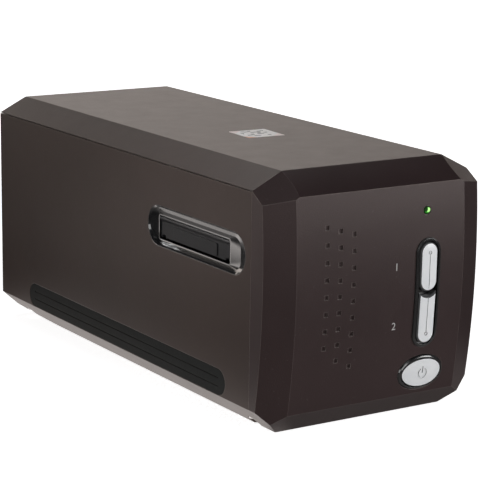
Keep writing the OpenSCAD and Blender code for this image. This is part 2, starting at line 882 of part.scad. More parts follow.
// Lower part of the scoop, where its slanted walls meet the flat floor round the door
module scoop_shape() {
  translate([(slot_y + door_y) / 2 - 1, (recess_z + door_z) / 2]) rounded(recess_l - 10, recess_h - 4.4, 5);
}

// Gloss insert in each side: a shallow scoop that leads to the dust door
module slot_dish() {
  rim = 0.9;
  step_x = side_x - 0.7 * recess_depth;
  color(gloss_black) difference() {
    union() {
      along_x(side_x - dish_t, side_x) recess_shape(0);
      along_x(side_x - wall - 1.5, side_x - wall) recess_shape(1.4);
    }
    hull() {
      along_x(side_x, side_x + 0.01) recess_shape(-0.1);
      along_x(side_x - rim + 0.1, side_x - rim + 0.11) recess_shape(-rim);
    }
    hull() {
      along_x(side_x - rim + 0.1, side_x - rim + 0.11) recess_shape(-rim);
      along_x(step_x, step_x + 0.01) scoop_shape();
    }
    hull() {
      along_x(step_x, step_x + 0.01) scoop_shape();
      along_x(side_x - recess_depth, side_x - recess_depth + 0.01) channel_shape(0.6);
    }
    along_x(side_x - dish_t - 1, side_x) channel_shape(0);
    bar_y(door_x, hinge_z, pin_r + run_fit, door_y - channel_w / 2 - 3, door_y + channel_w / 2 + 3);
  }
}
module left_slot_dish() { mirror([1, 0, 0]) slot_dish(); }
module right_slot_dish() { slot_dish(); }

door_l = channel_w - 2 * door_gap;
spring_l = 5.5;
spring_y = door_y + door_l / 2 - spring_l + 0.3;
wire_r = 0.15;
coil_r = pin_r + run_fit + wire_r + 0.05;
arm_low_z = channel_low + 3.5;

// Dust door: a flap that hangs from its barrel and swings both ways
module dust_door() {
  low = channel_low + 1;
  pad_z = door_z - 1.2;
  lip_z = door_z - 3;
  notch_w = 3;
  color(gloss_black) difference() {
    union() {
      translate([door_x - door_t / 2, door_y - door_l / 2, low]) cube([door_t, door_l, hinge_z - low]);
      bar_y(door_x, hinge_z, barrel_r, door_y - door_l / 2, door_y + door_l / 2);
      along_x(door_x, door_x + door_t / 2 + 0.5)
        translate([door_y - 0.6, pad_z]) rounded(0.61 * channel_w, 6, 0.8);
      along_x(door_x - door_t / 2 - 0.8, door_x)
        translate([door_y, lip_z]) square([door_l - 8, 1.2], center = true);
    }
    bar_y(door_x, hinge_z, pin_r + run_fit, door_y - door_l, door_y + door_l);
    for (end = [-1, 1])
      translate([door_x - door_t, door_y + end * (door_l / 2 - notch_w) - notch_w / 2, low - 1])
        cube([2 * door_t, notch_w, 2.2]);
    // Bore for the spring, open to the back for its arm
    bar_y(door_x, hinge_z, coil_r + wire_r + 0.05, door_y + door_l / 2 - spring_l, door_y + door_l);
    translate([door_x - barrel_r - 1, spring_y - 0.3, hinge_z - barrel_r - 1])
      cube([barrel_r + 0.6, 0.9, barrel_r + 1]);
  }
}
module left_dust_door() { mirror([1, 0, 0]) dust_door(); }
module right_dust_door() { dust_door(); }

module door_pin() {
  color(steel) bar_y(door_x, hinge_z, pin_r, door_y - channel_w / 2 - 2.6, door_y + channel_w / 2 + 2.6);
}
module left_door_pin() { mirror([1, 0, 0]) door_pin(); }
module right_door_pin() { door_pin(); }

// A coil of round wire about the Y axis, closed at both ends
module coil(r, wire_r, turns, l) {
  steps = 14;
  sides = 6;
  n = turns * steps;
  ring = [for (i = [0:n], k = [0:sides - 1])
    let (a = 360 * i / steps, b = 360 * k / sides, q = r + wire_r * cos(b))
      [q * sin(a), l * i / n + wire_r * sin(b), q * cos(a)]];
  caps = [[for (k = [sides - 1:-1:0]) k], [for (k = [0:sides - 1]) n * sides + k]];
  skin = [for (i = [0:n - 1], k = [0:sides - 1])
    [i * sides + k, i * sides + (k + 1) % sides, (i + 1) * sides + (k + 1) % sides, (i + 1) * sides + k]];
  polyhedron(ring, concat(caps, skin));
}

// Light spring that closes a dust door, wound on its pin
module door_spring() {
  color(steel) {
    translate([door_x, spring_y, hinge_z]) rotate([0, -90, 0]) coil(coil_r, wire_r, 6, spring_l - 0.9);
    translate([door_x - coil_r, spring_y, arm_low_z])
      cylinder(r = wire_r, h = hinge_z - arm_low_z, $fn = 16);
  }
}
module left_door_spring() { mirror([1, 0, 0]) door_spring(); }
module right_door_spring() { door_spring(); }

// Light window of the film gate, in X and Y
module window_shape() {
  translate([0, door_y]) rounded(window_w, window_l, 1.5);
}

module at_standoffs() {
  for (sx = [-1, 1], sy = [-1, 1]) translate([sx * standoff_x, door_y + sy * standoff_y, 0]) children();
}

// Film bed: the floor of the gate, with ribs below and a pin for the detent lever
module film_bed() {
  color(moulded_black) difference() {
    union() {
      along_z(bed_top - bed_t, bed_top) {
        translate([0, door_y]) rounded(2 * gate_x, bed_len, 3);
        translate([detent_x, detent_y]) circle(r = 4.5);
      }
      for (sy = [-1, 1])
        translate([-gate_x + 12, door_y + sy * (window_l / 2 + 4) - 0.8, bed_top - bed_t - 2])
          cube([2 * gate_x - 24, 1.6, 3]);
      translate([detent_x, detent_y, bed_top - 1]) cylinder(r = axle_r, h = guide_low - bed_top + 0.4);
    }
    along_z(bed_top - 2 * bed_t, bed_top + 1) window_shape();
    at_standoffs() translate([0, 0, bed_top - bed_t - 1]) cylinder(r = 1.1, h = bed_t + 2);
  }
}

// A side rail of the film gate, with a lead-in at each end
module film_rail(side) {
  inner = channel_w / 2;
  color(moulded_black) difference() {
    along_z(bed_top, guide_low) translate([0, door_y]) polygon([
      [-gate_x + 4, side * inner], [gate_x - 4, side * inner], [gate_x - 1, side * (inner + 1.6)],
      [gate_x - 1, side * (inner + rail_t)], [-gate_x + 1, side * (inner + rail_t)],
      [-gate_x + 1, side * (inner + 1.6)]]);
    if (side < 0)
      translate([detent_x + nose_reach - 4, door_y - inner - rail_t - 1, bed_top + 1.5])
        cube([8, rail_t + 2, guide_low - bed_top - 3]);
  }
}
module front_film_rail() { film_rail(-1); }
module rear_film_rail() { film_rail(1); }

// Upper guide: the roof of the film gate, which also carries the lamp
module upper_film_guide() {
  color(moulded_black) difference() {
    union() {
      along_y(door_y - bed_len / 2, door_y + bed_len / 2) polygon([
        [-gate_x + 1, guide_low + 1], [-gate_x + 4, guide_low], [gate_x - 4, guide_low],
        [gate_x - 1, guide_low + 1], [gate_x - 1, guide_top], [-gate_x + 1, guide_top]]);
      translate([detent_x, detent_y, guide_low]) cylinder(r = 4.5, h = guide_t);
    }
    along_z(guide_low - 1, guide_top + 1) window_shape();
    translate([detent_x, detent_y, guide_low - 1]) cylinder(r = axle_r + run_fit, h = guide_t + 2);
  }
}

// Detent lever: a sprung finger that clicks into the notches of a film holder
module detent_lever() {
  h = 5;
  nose_y = door_y - channel_w / 2 - 1.2;
  color(gear_white) translate([0, 0, detent_z - h / 2]) difference() {
    union() {
      translate([detent_x, detent_y, 0]) cylinder(r = 3, h = h);
      translate([detent_x, detent_y - 1.2, 0]) cube([nose_reach, 2.4, h]);
      translate([detent_x + nose_reach - 1.2, detent_y, 0]) cube([2.4, nose_y - detent_y, h]);
      translate([detent_x + nose_reach, nose_y, 0]) cylinder(r = 2, h = h);
    }
    translate([detent_x, detent_y, -1]) cylinder(r = axle_r + run_fit, h = h + 2);
  }
}

// Four posts between the chassis and the film bed
module bed_standoffs() {
  color(steel) at_standoffs() {
    translate([0, 0, deck_top]) cylinder(r = standoff_r, h = bed_top - bed_t - deck_top);
    translate([0, 0, bed_top - bed_t - 1]) cylinder(r = 1.1, h = bed_t + 0.6);
  }
}

// Upright sheet bracket across the chassis, narrower at the top
module bracket_shape() {
  shoulder_z = deck_top + bracket_shoulder;
  top_z = deck_top + bracket_h;
  polygon([[-deck_w / 2, deck_z], [deck_w / 2, deck_z], [deck_w / 2, shoulder_z],
    [bracket_top_w / 2, top_z], [-bracket_top_w / 2, top_z], [-deck_w / 2, shoulder_z]]);
}

// Chassis: a bent sheet that carries the rods, the screw, the motor and the boards
module chassis() {
  front_h = rod_rise + 11.5;
  journal_r = 2;
  hub_hole_r = 4;
  color(plate_grey) {
    difference() {
      union() {
        translate([-deck_w / 2, deck_front_y, deck_z]) cube([deck_w, deck_rear_y - deck_front_y, deck_t]);
        translate([-carriage_w / 2, deck_front_y, deck_z]) cube([carriage_w, sheet, deck_t + front_h]);
        along_y(rear_bracket_y, rear_bracket_y + sheet) bracket_shape();
        along_y(motor_plate_y, motor_plate_y + sheet) bracket_shape();
      }
      for (sx = [-1, 1]) bar_y(sx * rod_x, rod_z, rod_r, deck_front_y - 1, rear_bracket_y + 3);
      bar_y(0, screw_z, journal_r + run_fit, deck_front_y - 1, rear_bracket_y + 3);
      bar_y(0, screw_z, hub_hole_r, motor_plate_y - 1, motor_plate_y + 3);
      bar_y(0, pinion_z, shaft_r + 0.5, rear_bracket_y - 1, motor_plate_y + 3);
      for (sx = [-1, 1]) bar_y(sx * rod_x / 2, rod_z + 12, 5, rear_bracket_y - 1, rear_bracket_y + 3);
      for (y = [door_y - 14:40:rear_bracket_y - 14])
        translate([0, y, 0]) along_z(deck_z - 1, deck_top + 1) rounded(0.4 * deck_w, 22, 4);
    }
    bar_y(0, idler_z, axle_r, rear_bracket_y, motor_plate_y + sheet);
    for (sx = [-1, 1], y = [pcb_front_y + 5, deck_rear_y - 5])
      translate([sx * (pcb_w / 2 - 5), y, deck_top]) cylinder(r = 2.5, h = pcb_z - deck_top);
  }
}

module guide_rod(sx) {
  y0 = deck_front_y - 1.5;
  l = rear_bracket_y + sheet + 1.5 - y0;
  color(steel) translate([sx * rod_x, y0, rod_z]) rotate([-90, 0, 0]) rotate_extrude()
    polygon([[0, 0], [rod_r - 0.5, 0], [rod_r, 0.5], [rod_r, l - 0.5], [rod_r - 0.5, l], [0, l]]);
}
module left_guide_rod() { guide_rod(-1); }
module right_guide_rod() { guide_rod(1); }

bush_places = [carriage_front_y + 4, carriage_rear_y - 4 - bush_l];

// Bushings that run on the rods
module rod_bushings() {
  color(brass) for (sx = [-1, 1], y = bush_places) difference() {
    bar_y(sx * rod_x, rod_z, bush_r, y, y + bush_l);
    bar_y(sx * rod_x, rod_z, rod_r + run_fit, y - 1, y + bush_l + 1);
  }
}

// Section of the carriage tray, open at the top
module tray_shape() {
  difference() {
    translate([-carriage_w / 2, tray_z]) square([carriage_w, tray_h]);
    translate([tray_wall - carriage_w / 2, tray_z + tray_wall]) square([carriage_w - 2 * tray_wall, tray_h]);
  }
}

// Carriage: a moulded tray that holds mirror, lens and sensor in line
module carriage_body() {
  hold = 3;
  color(moulded_black) difference() {
    union() {
      along_y(carriage_front_y, carriage_rear_y) tray_shape();
      for (y = [carriage_front_y, carriage_rear_y - tray_wall])
        translate([-carriage_w / 2, y, tray_z]) cube([carriage_w, tray_wall, tray_h]);
      for (sx = [-1, 1], y = bush_places) along_y(y, y + bush_l) polygon([
        [sx * rod_x - 6, tray_z + 1], [sx * rod_x - 6, rod_z - 3], [sx * rod_x - 3, rod_z - 6],
        [sx * rod_x + 3, rod_z - 6], [sx * rod_x + 6, rod_z - 3], [sx * rod_x + 6, tray_z + 1]]);
      // Block for the nut of the lead screw
      translate([-8, nut_y, screw_z - 6.4]) cube([16, nut_l - 4, tray_z - screw_z + 7.4]);
      // Cradle of the lens
      along_y(lens_y + 5, lens_y + lens_l - 5) difference() {
        translate([-lens_r - 4, tray_z + 1]) square([2 * lens_r + 8, axis_z - tray_z - 1]);
        translate([0, axis_z]) circle(r = lens_r);
      }
      // Sloping cheeks that carry the ends of the mirror
      for (sx = [-1, 1]) along_x(sx * (mirror_l / 2 - hold / 2) - hold, sx * (mirror_l / 2 - hold / 2) + hold)
        polygon([[mirror_y - 12, tray_z + 1],
          [mirror_y + axis_z - tray_z - 1 - mirror_t * sqrt(2), tray_z + 1],
          [mirror_y - 5.6 - mirror_t * sqrt(2), axis_z + 5.6],
          [mirror_y - 12, axis_z + 5.6]]);
    }
    for (sx = [-1, 1], y = bush_places) bar_y(sx * rod_x, rod_z, bush_r, y - 1, y + bush_l + 1);
    bar_y(0, screw_z, 5, nut_y - 1, nut_y + nut_l);
    translate([-sensor_w / 2 - 1, carriage_rear_y - tray_wall - 1, axis_z - 5])
      cube([sensor_w + 2, tray_wall + 2, 10]);
  }
}

module carriage_cover() {
  color(moulded_black) difference() {
    translate([-carriage_w / 2, carriage_front_y, tray_top]) cube([carriage_w, carriage_l, cover_t]);
    translate([-window_w / 2 - 1, mirror_y - slit_w / 2, tray_top - 1])
      cube([window_w + 2, slit_w, cover_t + 2]);
  }
}

// First-surface mirror that turns the light from the film to the lens
module scan_mirror() {
  color([0.85, 0.9, 0.92]) translate([0, mirror_y, axis_z]) rotate([-45, 0, 0])
    translate([-mirror_l / 2, -mirror_h / 2, -mirror_t]) cube([mirror_l, mirror_h, mirror_t]);
}

module lens_barrel() {
  seat_l = 6;
  neck_r = lens_r - 2;
  neck_l = 4;
  stop_r = glass_r - 3;
  color(moulded_black) translate([0, lens_y, axis_z]) rotate([-90, 0, 0]) rotate_extrude()
    polygon([[glass_r, 0], [neck_r, 0], [neck_r, neck_l], [lens_r, neck_l], [lens_r, lens_l - neck_l],
      [neck_r, lens_l - neck_l], [neck_r, lens_l], [glass_r, lens_l], [glass_r, lens_l - seat_l],
      [stop_r, lens_l - seat_l - 1], [stop_r, seat_l + 1], [glass_r, seat_l]]);
}

// The two end glasses of the lens, ground to shallow curves
module lens_glass() {
  ball_r = 24;
  color([0.7, 0.85, 0.95]) for (end = [0, 1])
    translate([0, lens_y + end * lens_l, axis_z]) mirror([0, end, 0]) intersection() {
      bar_y(0, 0, glass_r, 0, 6);
      translate([0, ball_r + 1, 0]) sphere(r = ball_r, $fn = 240);
    }
}

module sensor_board() {
  color(board_green) along_y(carriage_rear_y, carriage_rear_y + board_t)
    translate([0, axis_z]) rounded(carriage_w - 8, tray_h - 5, 1);
}

module image_sensor() {
  color(chip_black) translate([-sensor_w / 2, carriage_rear_y - 3, axis_z - 4.5]) cube([sensor_w, 3, 9]);
}

// Lead screw with a journal at each end
module lead_screw() {
  journal_r = 2;
  y0 = deck_front_y - 1;
  y1 = gear_y + gear_w + 0.8;
  shoulder = deck_front_y + sheet + 0.3;
  color(steel) translate([0, 0, screw_z]) rotate([-90, 0, 0]) rotate_extrude()
    polygon([[0, y0], [journal_r, y0], [journal_r, shoulder], [screw_r, shoulder + 0.5],
      [screw_r, rear_bracket_y - 0.8], [journal_r, rear_bracket_y - 0.3], [journal_r, y1], [0, y1]]);
}

module screw_nut() {
  color(brass) difference() {
    union() {
      bar_y(0, screw_z, 5, nut_y, nut_y + nut_l - 3);
      bar_y(0, screw_z, 6.2, nut_y + nut_l - 4, nut_y + nut_l - 2);
    }
    bar_y(0, screw_z, screw_r + run_fit, nut_y - 1, nut_y + nut_l);
  }
}

// Flat outline of a spur gear: straight-sided teeth, narrower at the tip
module gear_shape(teeth, turn) {
  r = gear_m * teeth / 2;
  step = 360 / teeth;
  tip_r = r + 0.85 * gear_m;
  root_r = r - 1.15 * gear_m;
  tooth = [[-0.31, root_r], [-0.21, r], [-0.11, tip_r], [0.11, tip_r], [0.21, r], [0.31, root_r]];
  rotate(turn) polygon([for (i = [0:teeth - 1], c = tooth)
    let (a = 90 + step * (i + c[0])) c[1] * [cos(a), sin(a)]]);
}

module gear_body(x, z, teeth, turn, bore_r, hub_r) {
  difference() {
    union() {
      translate([x, 0, z]) along_y(gear_y, gear_y + gear_w) gear_shape(teeth, turn);
      bar_y(x, z, hub_r, gear_y - 0.6, gear_y + gear_w + 0.6);
    }
    bar_y(x, z, bore_r, gear_y - 2, gear_y + gear_w + 2);
  }
}

// A tooth points at a gap of its neighbour where two gears meet
module screw_gear() {
  color(gear_white) gear_body(0, screw_z, screw_teeth, 0, 2, 4);
}
module idler_gear() {
  color(gear_white) gear_body(0, idler_z, idler_teeth, 180 / idler_teeth, axle_r + run_fit, 3);
}
module motor_pinion() {
  color(brass) {
    gear_body(0, pinion_z, pinion_teeth, 0, shaft_r, 1.6);
    bar_y(0, pinion_z, shaft_r, gear_y - 1, motor_plate_y + sheet + 4);
  }
}

module drive_motor() {
  y0 = motor_plate_y + sheet;
  color(steel) difference() {
    union() {
      bar_y(0, pinion_z, motor_d / 2, y0 + 1, y0 + motor_l);
      along_y(y0, y0 + 1) intersection() {
        translate([0, pinion_z]) circle(r = motor_d / 2 + 5);
        translate([-far, pinion_z - 6]) square([2 * far, 12]);
      }
      bar_y(0, pinion_z, motor_d / 2 - 3, y0, y0 + 2);
    }
    bar_y(0, pinion_z, shaft_r + run_fit, y0 - 1, y0 + 5);
  }
}

// Lamp housing over the film gate
module backlight_housing() {
  color("white") translate([0, door_y, guide_top]) difference() {
    translate([-lamp_w / 2, -lamp_l / 2, 0]) cube([lamp_w, lamp_l, lamp_h]);
    translate([lamp_wall - lamp_w / 2, lamp_wall - lamp_l / 2, -1])
      cube([lamp_w - 2 * lamp_wall, lamp_l - 2 * lamp_wall, lamp_h - lamp_wall + 1]);
    for (i = [-3:3]) translate([i * 6 - 1, -lamp_l / 2 - 1, lamp_h - 5]) cube([2, lamp_l + 2, 3]);
  }
}

module light_diffuser() {
  color([0.95, 0.95, 0.92]) translate([lamp_fit - lamp_w / 2, door_y + lamp_fit - lamp_l / 2, guide_top])
    cube([lamp_w - 2 * lamp_fit, lamp_l - 2 * lamp_fit, 1.6]);
}

module led_board() {
  z1 = guide_top + lamp_h - lamp_wall;
  led_w = 3;
  color(board_green) translate([lamp_fit - lamp_w / 2, door_y + lamp_fit - lamp_l / 2, z1 - 1.2])
    cube([lamp_w - 2 * lamp_fit, lamp_l - 2 * lamp_fit, 1.2]);
  color("white") for (i = [-1.5:1.5], j = [-1, 0, 1])
    translate([i * lamp_w / 5.2, door_y + j * lamp_l / 4.4, z1 - 1.6])
      cube([led_w, led_w, 1.2], center = true);
}

module main_board() {
  color(board_green) translate([-pcb_w / 2, pcb_front_y, pcb_z]) cube([pcb_w, pcb_l, board_t]);
  translate([0, pcb_front_y, pcb_z + board_t]) {
    color(chip_black) {
      translate([0.12 * pcb_w, 0.25 * pcb_l, 0]) cube([16, 16, 1.4]);
      translate([-0.27 * pcb_w, 0.17 * pcb_l, 0]) cube([10, 7, 1.2]);
    }
    color(steel) for (p = [[0.41, 0.22], [0.41, 0.5], [-0.44, 0.67]])
      translate([p[0] * pcb_w, p[1] * pcb_l, 0]) cylinder(r = 3, h = 7);
  }
}

// Round socket for the mains adapter, on the board and level with the rear panel
module power_jack() {
  y1 = y_rear - rear_inset;
  color(moulded_black) translate([jack_x, 0, pcb_z + board_t]) {
    difference() {
      translate([-jack_w / 2, y1 - jack_l, 0]) cube([jack_w, jack_l, jack_h]);
      bar_y(0, jack_h / 2 + 0.6, 2.9, y1 - 9, y1 + 1);
    }
    bar_y(0, jack_h / 2 + 0.6, 0.95, y1 - 10, y1 - 1);
  }
}

// Square socket for the data cable, with its inner tongue
module data_port() {
  y1 = y_rear - rear_inset;
  color(steel) translate([port_x, 0, pcb_z + board_t]) {
    difference() {
      translate([-port_w / 2, y1 - port_l, 0]) cube([port_w, port_l, port_h]);
      along_y(y1 - 9, y1 + 1)
        polygon([[-4.2, 1.6], [4.2, 1.6], [4.2, 7], [2.6, 9.4], [-2.6, 9.4], [-4.2, 7]]);
    }
    translate([-2.8, y1 - 10, 3.8]) cube([5.6, 9, 3.2]);
  }
}

lower_case();
top_cover();
front_bezel();
rear_panel();
left_grip_strip();
right_grip_strip();
front_left_foot();
front_right_foot();
rear_left_foot();
rear_right_foot();
case_screws();
scan_well();
power_well();
upper_scan_button();
lower_scan_button();
power_button();
upper_plunger();
lower_plunger();
power_plunger();
light_pipe();
button_board();
tact_switches();
left_slot_dish();
right_slot_dish();
left_dust_door();
right_dust_door();
left_door_pin();
right_door_pin();
left_door_spring();
right_door_spring();
film_bed();
front_film_rail();
rear_film_rail();
upper_film_guide();
detent_lever();
bed_standoffs();
chassis();
left_guide_rod();
right_guide_rod();
rod_bushings();
carriage_body();
carriage_cover();
scan_mirror();
lens_barrel();
lens_glass();
sensor_board();
image_sensor();
lead_screw();
screw_nut();
screw_gear();
idler_gear();
motor_pinion();
drive_motor();
backlight_housing();
light_diffuser();
led_board();
main_board();
power_jack();
data_port();
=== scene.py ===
import math

import bpy
from mathutils import Matrix, Vector


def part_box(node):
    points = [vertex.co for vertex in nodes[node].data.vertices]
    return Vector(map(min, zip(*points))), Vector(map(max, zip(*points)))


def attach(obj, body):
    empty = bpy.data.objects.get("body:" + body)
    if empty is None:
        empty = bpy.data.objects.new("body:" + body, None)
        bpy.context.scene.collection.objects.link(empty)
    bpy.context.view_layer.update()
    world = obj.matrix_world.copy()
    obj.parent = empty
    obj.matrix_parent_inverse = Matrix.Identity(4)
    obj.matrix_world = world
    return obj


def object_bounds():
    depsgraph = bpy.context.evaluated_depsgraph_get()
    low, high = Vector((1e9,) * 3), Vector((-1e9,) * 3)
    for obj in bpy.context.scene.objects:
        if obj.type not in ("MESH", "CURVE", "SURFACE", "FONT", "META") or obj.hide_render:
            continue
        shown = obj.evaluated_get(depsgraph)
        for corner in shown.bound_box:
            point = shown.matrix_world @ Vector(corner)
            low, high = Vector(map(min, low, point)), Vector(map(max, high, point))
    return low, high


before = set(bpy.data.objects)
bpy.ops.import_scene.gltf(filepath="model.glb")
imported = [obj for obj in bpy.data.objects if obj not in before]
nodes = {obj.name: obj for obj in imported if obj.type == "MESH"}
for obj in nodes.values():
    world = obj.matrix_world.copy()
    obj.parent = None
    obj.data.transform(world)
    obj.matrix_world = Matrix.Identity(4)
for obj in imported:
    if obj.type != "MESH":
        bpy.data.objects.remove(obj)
cad_low, cad_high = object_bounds()
MM = 0.001


# Case: lower case, top cover and rear panel.
# Injection-moulded ABS, dark brown all through, from a tool with a fine spark-eroded texture.
# The three snap and screw together, so each one has its own softened edges.
A_COLOUR, B_COLOUR, MIXED_COLOUR = 6, 7, 2   # a Mix node's sockets for colours, by number


class Sum:
    """A shader socket that takes part in plain sums, and makes further nodes beside it."""

    def __init__(self, tree, socket=None):
        self.tree = tree
        self.socket = socket

    def node(self, kind, settings=None, values=None, out=0):
        made = self.tree.nodes.new(kind)
        for name, value in (settings or {}).items():
            setattr(made, name, value)
        for name, value in (values or {}).items():
            if isinstance(value, Sum):
                self.tree.links.new(value.socket, made.inputs[name])
            else:
                made.inputs[name].default_value = value
        return Sum(self.tree, made.outputs[out])

    def math(self, operation, *terms):
        return self.node("ShaderNodeMath", {"operation": operation}, dict(enumerate(terms)))

    def __add__(self, other):
        return self.math("ADD", self, other)

    def __radd__(self, other):
        return self.math("ADD", other, self)

    def __sub__(self, other):
        return self.math("SUBTRACT", self, other)

    def __rsub__(self, other):
        return self.math("SUBTRACT", other, self)

    def __mul__(self, other):
        return self.math("MULTIPLY", self, other)

    def __rmul__(self, other):
        return self.math("MULTIPLY", other, self)

    def __truediv__(self, other):
        return self.math("DIVIDE", self, other)

    def __pow__(self, other):
        return self.math("POWER", self, other)

    def ease(self, low, high):
        """0 below low, 1 above high, and a smooth step between them."""
        return self.node("ShaderNodeMapRange", {"interpolation_type": "SMOOTHSTEP"},
                         {0: self, 1: low, 2: high})

    def tint(self, first, second):
        """The first colour where the value is 0 and the second where it is 1."""
        return self.node("ShaderNodeMix", {"data_type": "RGBA"},
                         {0: self, A_COLOUR: rgb(first), B_COLOUR: rgb(second)}, out=MIXED_COLOUR)


def rgb(colour):
    return colour if isinstance(colour, Sum) else (*colour, 1.0)


def new_material(name):
    """An empty node tree with a Principled shader, and the point on the piece."""
    material = bpy.data.materials.new(name)
    material.use_nodes = True
    shader = material.node_tree.nodes["Principled BSDF"]
    start = Sum(material.node_tree)
    return material, shader, start, start.node("ShaderNodeTexCoord", out="Object")


def connect(shader, **sockets):
    for name, value in sockets.items():
        name = name.replace("_", " ").title()
        name = name.replace("Ior", "IOR")
        if isinstance(value, Sum):
            value.tree.links.new(value.socket, shader.inputs[name])
        else:
            shader.inputs[name].default_value = value


def grain(start, place, size, detail=2.0, rough=0.5):
    """Noise whose lumps are about size across, from 0 to 1."""
    return start.node("ShaderNodeTexNoise", None,
                      {"Vector": place, "Scale": 1.0 / size, "Detail": detail, "Roughness": rough})


def bump(start, height, depth, normal=None):
    values = {"Height": height, "Distance": depth, "Strength": 1.0}
    if normal:
        values["Normal"] = normal
    return start.node("ShaderNodeBump", None, values)


def dot(start, first, second):
    return start.node("ShaderNodeVectorMath", {"operation": "DOT_PRODUCT"},
                      {0: first, 1: second}, out="Value")


def soft_edge(start, radius, full=0.12):
    """The surface's direction with its edges rounded, and how near an edge it is.

    full is the turn, as 1 less its cosine, at which a point counts as wholly at an edge.
    """
    rounded = start.node("ShaderNodeBevel", {"samples": 6}, {"Radius": radius})
    flat = start.node("ShaderNodeNewGeometry", out="Normal")
    return rounded, (1.0 - dot(start, rounded, flat)).ease(0.004, full)


def moulded(name, colour, edge_wear_and_highlight, roughness=0.42, lump=0.35 * MM, depth=0.02 * MM, edge=0.45 * MM,
            sheen=0.5, shine=(1.0, 1.0, 1.0), wear=0.35, full=0.12):
    """Textured moulding: fine tool grain, faint flow clouding, rubbed edges and dust.

    lump and depth are the grain's size and height, sheen and shine how much light it throws back
    and in what colour, and wear how far the edges take their paler colour: rubbed wear, and on the
    bezel a painted highlight.
    """
    material, shader, start, place = new_material(name)
    rounded, near_edge = soft_edge(start, edge, full)
    fine = grain(start, place, lump, 3.0, 0.6)
    cloud = grain(start, place, 45 * MM, 3.0)
    smear = grain(start, place, 11 * MM, 5.0, 0.65)
    specks = grain(start, place, 1.1 * MM, 1.0).ease(0.73, 0.78)
    body = (cloud * 0.7 + fine * 0.3).ease(0.3, 0.7).tint(
        tuple(0.9 * c for c in colour), tuple(1.1 * c for c in colour))
    dusty = (specks * 0.05).tint(body, (0.45, 0.43, 0.40))
    # Paler near edges: rubbed wear, and on the bezel a painted highlight along its edges and seam.
    shade = (near_edge * wear).tint(dusty, edge_wear_and_highlight)
    connect(shader, base_color=shade, specular_ior_level=sheen, specular_tint=rgb(shine),
            roughness=roughness + (smear - 0.5) * 0.10 + (fine - 0.5) * 0.06 - near_edge * 0.08,
            normal=bump(start, fine, depth, rounded))
    return material


def dress(material, *names):
    for name in names:
        slots = nodes[name].data.materials
        slots.clear()
        slots.append(material)


CASE_BROWN = (0.034, 0.0205, 0.0170)
CASE_RUBBED = (0.075, 0.062, 0.054)
CASE_SHINE = (1.0, 0.88, 0.84)
dress(moulded("case_plastic", CASE_BROWN, CASE_RUBBED, shine=CASE_SHINE),
      "lower_case", "top_cover", "rear_panel")

# Front bezel: a thin faceted moulding with a tongue that enters the case.
# ABS of the same brown, a shade redder and smoother than the case. It snaps on.
# Its edges are turned pale: rubbed wear and a painted highlight along the edges and the seam with
# the case.
BEZEL_BROWN = (0.029, 0.0165, 0.0175)
BEZEL_EDGE_WEAR_AND_HIGHLIGHT = (0.20, 0.165, 0.155)
dress(moulded("bezel_plastic", BEZEL_BROWN, BEZEL_EDGE_WEAR_AND_HIGHLIGHT, roughness=0.40, lump=0.55 * MM,
              depth=0.06 * MM, edge=0.3 * MM, shine=CASE_SHINE, wear=0.9, full=0.035),
      "front_bezel")


# Wells round the buttons, and the dishes and dust doors of the film slot.
# Black ABS from a polished tool, which shows hairlines and dust. The doors come from a duller one.
def glossy(name, colour, roughness=0.14, edge=0.3 * MM, coat=1.0, sheen=0.6):
    material, shader, start, place = new_material(name)
    rounded, near_edge = soft_edge(start, edge)
    along = start.node("ShaderNodeMapping", None, {"Vector": place, "Scale": (1.0, 0.12, 1.0)})
    hairs = grain(start, along, 0.5 * MM, 4.0, 0.7)
    haze = grain(start, place, 9 * MM, 4.0)
    dust = grain(start, place, 0.8 * MM, 1.0).ease(0.72, 0.76)
    shade = (dust * 0.06 + near_edge * 0.10).tint(colour, (0.30, 0.30, 0.30))
    connect(shader, base_color=shade, coat_roughness=0.08, specular_ior_level=sheen,
            roughness=roughness + (haze - 0.4) * 0.12 + hairs.ease(0.55, 0.75) * 0.08,
            coat_weight=(0.9 - haze * 0.3) * coat,
            normal=bump(start, hairs, 0.004 * MM, rounded))
    return material


dress(glossy("gloss_black", (0.010, 0.010, 0.011)),
      "scan_well", "power_well", "left_slot_dish", "right_slot_dish")
dress(glossy("door_black", (0.018, 0.018, 0.020), roughness=0.38, edge=0.15 * MM, coat=0.0,
             sheen=0.22),
      "left_dust_door", "right_dust_door")


# Scan buttons and power button.
# Black ABS caps whose faces are painted pale silver, with a satin clear coat.
# Silver only where the surface faces the front, so the bevel, sides and line walls stay dark: bare
# plastic and painted shade.
def silver_paint(name):
    material, shader, start, place = new_material(name)
    rounded, near_edge = soft_edge(start, 0.3 * MM)
    facing = start.node("ShaderNodeTexCoord", out="Normal")
    # Dark wherever the surface turns from the front: partly bare plastic, partly painted shade on
    # the bevel, sides and line walls.
    face_paint_and_side_shade = dot(start, facing, (0.0, -1.0, 0.0)).ease(0.74, 0.86)
    flake = grain(start, place, 0.09 * MM, 1.0)
    cloud = grain(start, place, 5 * MM, 3.0)
    touch = grain(start, place, 2.2 * MM, 4.0, 0.65)
    body = (flake * 0.6 + cloud * 0.4).ease(0.35, 0.65).tint((0.90, 0.92, 0.95), (0.98, 0.99, 1.0))
    silver = (near_edge * 0.35).tint(body, (0.42, 0.43, 0.45))
    connect(shader, base_color=face_paint_and_side_shade.tint((0.075, 0.077, 0.080), silver),
            metallic=face_paint_and_side_shade * (0.04 + (flake - 0.5) * 0.04), coat_roughness=0.15,
            roughness=0.34 + (touch - 0.5) * 0.16 + (flake - 0.5) * 0.08,
            coat_weight=0.30 - touch * 0.15,
            normal=bump(start, flake, 0.003 * MM, rounded))
    return material


dress(silver_paint("button_silver"), "upper_scan_button", "lower_scan_button", "power_button")


